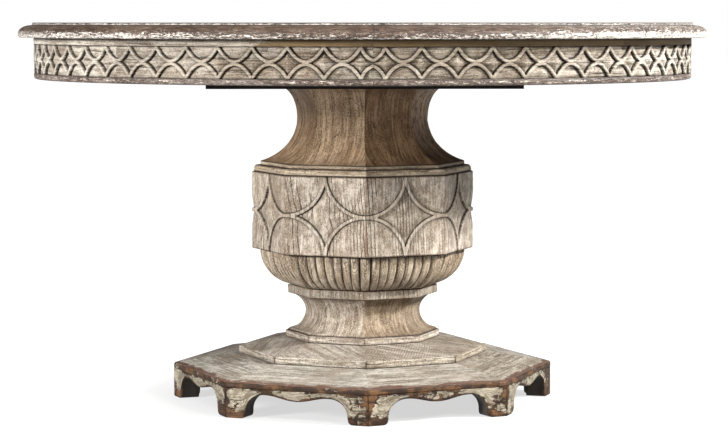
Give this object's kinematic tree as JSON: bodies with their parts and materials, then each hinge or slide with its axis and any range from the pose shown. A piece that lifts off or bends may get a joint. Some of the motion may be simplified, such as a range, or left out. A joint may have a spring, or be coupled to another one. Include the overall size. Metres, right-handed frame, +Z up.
{
  "type": "round pedestal table",
  "caption": "Round wooden dining table on an octagonal pedestal, with a carved apron, whose two half tops slide apart on geared runners for an extra leaf.",
  "frame": {"origin": "on the floor, under the middle of the pedestal and of the closed round top", "axes": "+Z up; the seam between the half tops lies along Y and the halves slide apart along X; corners of the octagonal pedestal point along X and Y"},
  "size_m": [1.372, 1.372, 0.755],
  "materials": {
    "top_wood": "limed planks, matt",
    "rim_wood": "rubbed brown edge with worn highlights",
    "carved_wood": "carved and limed, dark in the hollows",
    "neck_wood": "limed veneer with dark grain",
    "base_wood": "chipped cream paint over brown wood",
    "dark_wood": "near-black stain",
    "slide_wood": "waxed hardwood",
    "hardware_steel": "zinc plated",
    "nylon": "moulded"
  },
  "bodies": {
    "pedestal": {"neck": "neck_wood", "collar_moulding": "neck_wood", "drum": "carved_wood", "gadroon_bowl": "carved_wood", "astragal": "neck_wood", "lower_cove": "neck_wood", "cove_plinth": "neck_wood", "step_tier": "base_wood", "base_top": "base_wood", "foot_board_1": "base_wood", "foot_board_2": "base_wood", "foot_board_3": "base_wood", "foot_board_4": "base_wood", "foot_board_5": "base_wood", "foot_board_6": "base_wood", "foot_board_7": "base_wood", "foot_board_8": "base_wood", "tie_rod": "hardware_steel", "tie_rod_top_washer": "hardware_steel", "tie_rod_top_nut": "hardware_steel", "tie_rod_bottom_washer": "hardware_steel", "tie_rod_bottom_nut": "hardware_steel", "mounting_plate": "dark_wood", "left_cross_member": "slide_wood", "right_cross_member": "slide_wood", "front_centre_rail": "slide_wood", "rear_centre_rail": "slide_wood", "gear_bridge": "slide_wood", "pinion_pin": "hardware_steel"},
    "left_top": {"left_top_panel": "top_wood", "left_top_moulding": "rim_wood", "left_apron": "carved_wood", "left_apron_bead": "base_wood", "left_glue_block_a": "slide_wood", "left_glue_block_b": "slide_wood", "left_front_runner": "slide_wood", "left_rear_runner": "slide_wood", "left_rack": "nylon", "left_stop_block": "slide_wood", "seam_dowel_1": "slide_wood", "seam_dowel_2": "slide_wood", "seam_dowel_3": "slide_wood", "seam_dowel_4": "slide_wood", "front_lock_body": "hardware_steel", "rear_lock_body": "hardware_steel"},
    "right_top": {"right_top_panel": "top_wood", "right_top_moulding": "rim_wood", "right_apron": "carved_wood", "right_apron_bead": "base_wood", "right_glue_block_a": "slide_wood", "right_glue_block_b": "slide_wood", "right_front_runner": "slide_wood", "right_rear_runner": "slide_wood", "right_rack": "nylon", "right_stop_block": "slide_wood", "front_lock_keeper": "hardware_steel", "rear_lock_keeper": "hardware_steel"},
    "pinion": {"equaliser_pinion": "nylon"},
    "front_lever": {"front_lock_lever": "hardware_steel"},
    "rear_lever": {"rear_lock_lever": "hardware_steel"}
  },
  "joints": [
    {"name": "left_slide", "type": "slide", "parent": "pedestal", "child": "left_top", "axis": [-1, 0, 0], "range_m": [0, 0.26]},
    {"name": "right_slide", "type": "slide", "parent": "pedestal", "child": "right_top", "axis": [1, 0, 0], "range_m": [0, 0.26]},
    {"name": "pinion_spin", "type": "hinge", "parent": "pedestal", "child": "pinion", "pos_m": [0, 0, 0.714], "axis": [0, 0, 1], "range_deg": [0, 534]},
    {"name": "front_lock", "type": "hinge", "parent": "left_top", "child": "front_lever", "pos_m": [-0.03, -0.42, 0.72], "axis": [0, 0, 1], "range_deg": [-90, 0]},
    {"name": "rear_lock", "type": "hinge", "parent": "left_top", "child": "rear_lever", "pos_m": [-0.03, 0.42, 0.72], "axis": [0, 0, 1], "range_deg": [-90, 0]}
  ],
  "couplings": [
    {"joint": "right_slide", "follows": "left_slide", "ratio": 1},
    {"joint": "pinion_spin", "follows": "left_slide", "rad_per_m": 35.714}
  ]
}
